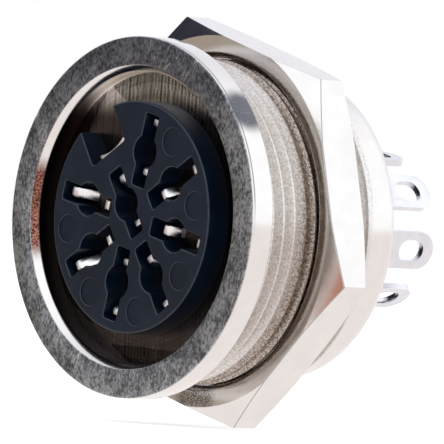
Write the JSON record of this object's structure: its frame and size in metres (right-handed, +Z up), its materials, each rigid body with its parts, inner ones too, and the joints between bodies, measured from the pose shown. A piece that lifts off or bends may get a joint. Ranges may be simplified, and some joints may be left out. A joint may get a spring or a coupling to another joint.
{
  "type": "din socket",
  "caption": "Round panel socket with a flanged threaded shell, a hexagonal fixing nut, a keyed insulator, forked contacts and solder tags.",
  "frame": {"origin": "on the socket's axis, in the plane of the flange's rear face, which seats on the panel", "axes": "+Y along the axis towards the solder tags, so the plug enters from -Y; +Z up and +X to the right as seen from the front"},
  "size_m": [0.021, 0.0177, 0.0212],
  "materials": {
    "shell_plating": "nickel plated, satin turned face",
    "nut_plating": "nickel plated, bright",
    "insulator_plastic": "satin moulded",
    "disc_plastic": "satin moulded",
    "contact_plating": "silver plated, bright",
    "spring_plating": "silver plated"
  },
  "bodies": {
    "socket": {"shell": "shell_plating", "insulator": "insulator_plastic", "rear_disc": "disc_plastic", "earth_spring": "spring_plating", "contact_1": "contact_plating", "contact_2": "contact_plating", "contact_3": "contact_plating", "contact_4": "contact_plating", "contact_5": "contact_plating", "contact_6": "contact_plating", "contact_7": "contact_plating", "contact_8": "contact_plating"},
    "nut": {"nut": "nut_plating"}
  },
  "joints": [
    {"name": "nut_travel", "type": "slide", "parent": "socket", "child": "nut", "axis": [0, 1, 0], "range_m": [-0.0034, 0.0135]}
  ]
}
